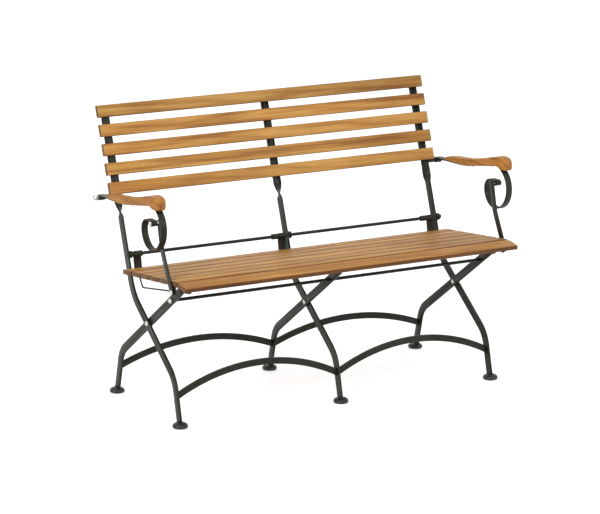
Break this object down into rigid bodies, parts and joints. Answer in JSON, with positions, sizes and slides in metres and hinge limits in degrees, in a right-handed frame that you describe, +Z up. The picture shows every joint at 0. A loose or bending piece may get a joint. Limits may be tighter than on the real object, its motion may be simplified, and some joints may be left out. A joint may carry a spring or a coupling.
{
  "type": "folding garden bench",
  "caption": "Folding garden bench with slatted wooden seat, back and armrests on crossing frames of painted flat bar, with a scroll below each armrest.",
  "frame": {"origin": "middle of the bench's bounding box, on the floor", "axes": "+X along the bench to the right as seen from its front, +Y to the rear, +Z up"},
  "size_m": [1.24, 0.5812, 0.8792],
  "materials": {
    "wood": "oiled hardwood, satin",
    "painted_steel": "powder coated, dark grey-green, low gloss",
    "bright_steel": "zinc plated",
    "black_plastic": "moulded, matt"
  },
  "bodies": {
    "back_frame": {"left_post": "painted_steel", "centre_post": "painted_steel", "right_post": "painted_steel", "back_slat_1": "wood", "back_slat_2": "wood", "back_slat_3": "wood", "back_slat_4": "wood", "back_slat_5": "wood", "back_slat_screws": "bright_steel", "front_left_arch": "painted_steel", "front_right_arch": "painted_steel", "left_front_foot": "black_plastic", "centre_front_foot": "black_plastic", "right_front_foot": "black_plastic", "hinge_rod": "painted_steel", "hinge_rod_nuts": "bright_steel", "hinge_rod_collars": "painted_steel", "pivot_rivets": "bright_steel", "left_arm_bar": "painted_steel", "right_arm_bar": "painted_steel", "arm_pivot_nuts": "bright_steel"},
    "rear_legs": {"left_leg": "painted_steel", "centre_leg": "painted_steel", "right_leg": "painted_steel", "rear_left_arch": "painted_steel", "rear_right_arch": "painted_steel", "left_rear_foot": "black_plastic", "centre_rear_foot": "black_plastic", "right_rear_foot": "black_plastic", "cross_rod": "painted_steel", "cross_rod_nuts": "bright_steel", "guide_pins": "bright_steel"},
    "seat": {"seat_slat_1": "wood", "seat_slat_2": "wood", "seat_slat_3": "wood", "seat_slat_4": "wood", "seat_slat_5": "wood", "seat_slat_6": "wood", "seat_slat_7": "wood", "seat_screws": "bright_steel", "left_seat_strap": "painted_steel", "centre_seat_strap": "painted_steel", "right_seat_strap": "painted_steel", "left_guide_wire": "painted_steel", "right_guide_wire": "painted_steel", "left_arm_bracket": "painted_steel", "right_arm_bracket": "painted_steel", "link_bolts": "bright_steel"},
    "left_arm": {"left_armrest": "wood", "left_arm_strip": "painted_steel", "left_armrest_screws": "bright_steel", "left_scroll_bolt": "bright_steel"},
    "right_arm": {"right_armrest": "wood", "right_arm_strip": "painted_steel", "right_armrest_screws": "bright_steel", "right_scroll_bolt": "bright_steel"},
    "left_link": {"left_arm_link": "painted_steel"},
    "right_link": {"right_arm_link": "painted_steel"}
  },
  "joints": [
    {"name": "seat_fold", "type": "hinge", "parent": "back_frame", "child": "seat", "pos_m": [0, 0.11682, 0.45355], "axis": [-1, 0, 0], "range_deg": [0, 110]},
    {"name": "rear_leg_fold", "type": "hinge", "parent": "back_frame", "child": "rear_legs", "pos_m": [0, 0.00769, 0.26693], "axis": [-1, 0, 0], "range_deg": [0, 66]},
    {"name": "left_arm_fold", "type": "hinge", "parent": "back_frame", "child": "left_arm", "pos_m": [-0.593, 0.20309, 0.6167], "axis": [-1, 0, 0], "range_deg": [0, 112.8]},
    {"name": "right_arm_fold", "type": "hinge", "parent": "back_frame", "child": "right_arm", "pos_m": [0.593, 0.20309, 0.6167], "axis": [-1, 0, 0], "range_deg": [0, 112.8]},
    {"name": "left_link_swing", "type": "hinge", "parent": "seat", "child": "left_link", "pos_m": [-0.5735, -0.21342, 0.41396], "axis": [1, 0, 0], "range_deg": [0, 92.3]},
    {"name": "right_link_swing", "type": "hinge", "parent": "seat", "child": "right_link", "pos_m": [0.5735, -0.21342, 0.41396], "axis": [1, 0, 0], "range_deg": [0, 92.3]}
  ],
  "couplings": [
    {"joint": "rear_leg_fold", "follows": "seat_fold", "ratio": 0.6},
    {"joint": "left_arm_fold", "follows": "seat_fold", "ratio": 1.0253},
    {"joint": "right_arm_fold", "follows": "seat_fold", "ratio": 1.0253},
    {"joint": "left_link_swing", "follows": "seat_fold", "ratio": 0.83901},
    {"joint": "right_link_swing", "follows": "seat_fold", "ratio": 0.83901}
  ]
}
